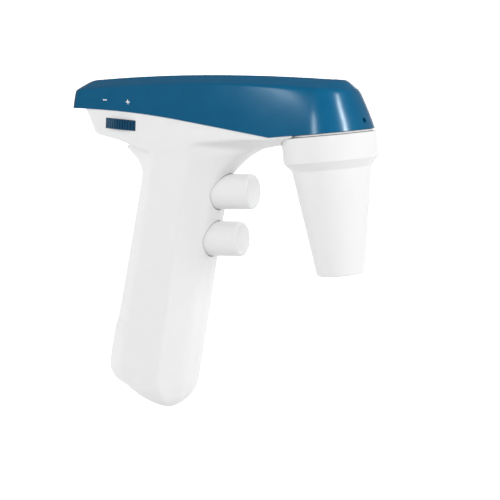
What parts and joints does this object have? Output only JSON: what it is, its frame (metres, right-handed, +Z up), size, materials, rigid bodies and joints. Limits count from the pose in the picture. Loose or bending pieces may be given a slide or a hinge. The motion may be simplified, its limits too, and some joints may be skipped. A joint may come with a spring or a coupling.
{
  "type": "motorized pipette controller",
  "caption": "Pistol-grip pipette controller: hollow handle, domed head with a pump, draw and dispense buttons, side speed wheel and a screw-on nose cone with a soft pipette socket.",
  "frame": {"origin": "centre of the pipette mouth, in the plane of the nose cone's lower end", "axes": "+Z up along the nose cone's axis, +X from the grip toward the nose, +Y to the left of a user who looks along +X"},
  "size_m": [0.1646, 0.047, 0.1779],
  "materials": {
    "white_shell": "satin, fine texture",
    "white_button": "satin",
    "white_cone": "satin",
    "white_spigot": "satin",
    "blue_cover": "satin, fine texture",
    "blue_wheel": "satin",
    "clear_window": "clear, polished",
    "lamp": "diffusing",
    "circuit_board": "solder mask",
    "black_plastic": "moulded",
    "ivory_plastic": "moulded",
    "steel": "machined",
    "brass": "machined",
    "copper": "plain metal",
    "magnet": "sintered",
    "black_rubber": "moulded",
    "silicone": "soft, matt",
    "clear_hose": "milky, soft",
    "red_lead": "insulated lead",
    "black_lead": "insulated lead",
    "filter_white": "moulded",
    "valve_blue": "moulded",
    "cell_wrap": "shrink-wrapped can"
  },
  "bodies": {
    "handle": {"handle_shell_right": "white_shell", "handle_shell_left": "white_shell", "top_cover": "blue_cover", "status_window": "clear_window", "lamp_board": "circuit_board", "status_lamp": "lamp", "wheel_bridge": "black_plastic", "speed_potentiometer": "black_plastic", "control_board": "circuit_board", "board_parts": "black_plastic", "board_screws": "steel", "aspirate_spring": "steel", "dispense_spring": "steel", "aspirate_seal": "black_rubber", "dispense_seal": "black_rubber", "valve_block": "ivory_plastic", "valve_end_plate": "steel", "aspirate_switch": "black_plastic", "dispense_switch": "black_plastic", "switch_boards": "circuit_board", "motor_can": "steel", "motor_magnets": "magnet", "connecting_rod": "ivory_plastic", "diaphragm": "black_rubber", "pump_frame": "black_plastic", "pump_head": "ivory_plastic", "pump_flaps": "black_rubber", "pump_screws": "steel", "pump_mounts": "black_rubber", "motor_rails": "ivory_plastic", "suction_hose": "clear_hose", "pressure_hose": "clear_hose", "nose_hose": "clear_hose", "cell_lead": "red_lead", "charge_lead": "black_lead", "motor_lead": "red_lead", "lamp_lead": "black_lead", "nose_spigot": "white_spigot", "nose_seal": "black_rubber", "spigot_screws": "steel", "battery_cell": "cell_wrap", "cell_cradle": "black_plastic", "cell_contacts": "copper", "charge_socket": "black_plastic", "charge_board": "circuit_board", "case_screws": "steel"},
    "speed_wheel": {"speed_wheel": "blue_wheel", "wheel_spindle": "steel"},
    "aspirate_button": {"aspirate_button": "white_button", "aspirate_stem": "steel"},
    "dispense_button": {"dispense_button": "white_button", "dispense_stem": "steel"},
    "drive_shaft": {"motor_rotor": "copper", "motor_shaft": "steel", "eccentric": "brass"},
    "battery_door": {"battery_door": "white_shell"},
    "nose_core": {"pipette_adapter": "silicone", "check_valve": "valve_blue", "membrane_filter": "filter_white"},
    "cone": {"adapter_housing": "white_cone"}
  },
  "joints": [
    {"name": "wheel_turn", "type": "hinge", "parent": "handle", "child": "speed_wheel", "pos_m": [-0.1085, 0, 0.084], "axis": [0.165, 0, 0.9863], "range_deg": [-135, 135]},
    {"name": "aspirate_press", "type": "slide", "parent": "handle", "child": "aspirate_button", "axis": [-0.9986, 0, 0.0523], "range_m": [0, 0.0045], "stiffness_N_per_m": 500, "springref_m": -0.002, "deforming": ["aspirate_spring"]},
    {"name": "dispense_press", "type": "slide", "parent": "handle", "child": "dispense_button", "axis": [-0.9986, 0, 0.0523], "range_m": [0, 0.0045], "stiffness_N_per_m": 500, "springref_m": -0.002, "deforming": ["dispense_spring"]},
    {"name": "motor_spin", "type": "hinge", "parent": "handle", "child": "drive_shaft", "pos_m": [-0.052, 0, 0.0882], "axis": [1, 0, 0], "continuous": true},
    {"name": "door_pull", "type": "slide", "parent": "handle", "child": "battery_door", "axis": [-1, 0, 0], "range_m": [0, 0.025]},
    {"name": "core_drop", "type": "slide", "parent": "handle", "child": "nose_core", "axis": [0, 0, -1], "range_m": [0, 0.011]},
    {"name": "cone_unscrew", "type": "hinge", "parent": "nose_core", "child": "cone", "pos_m": [0, 0, 0.03], "axis": [0, 0, -1], "range_deg": [0, 1325]}
  ],
  "couplings": [
    {"joint": "cone_unscrew", "follows": "core_drop", "rad_per_m": 2094.4}
  ]
}
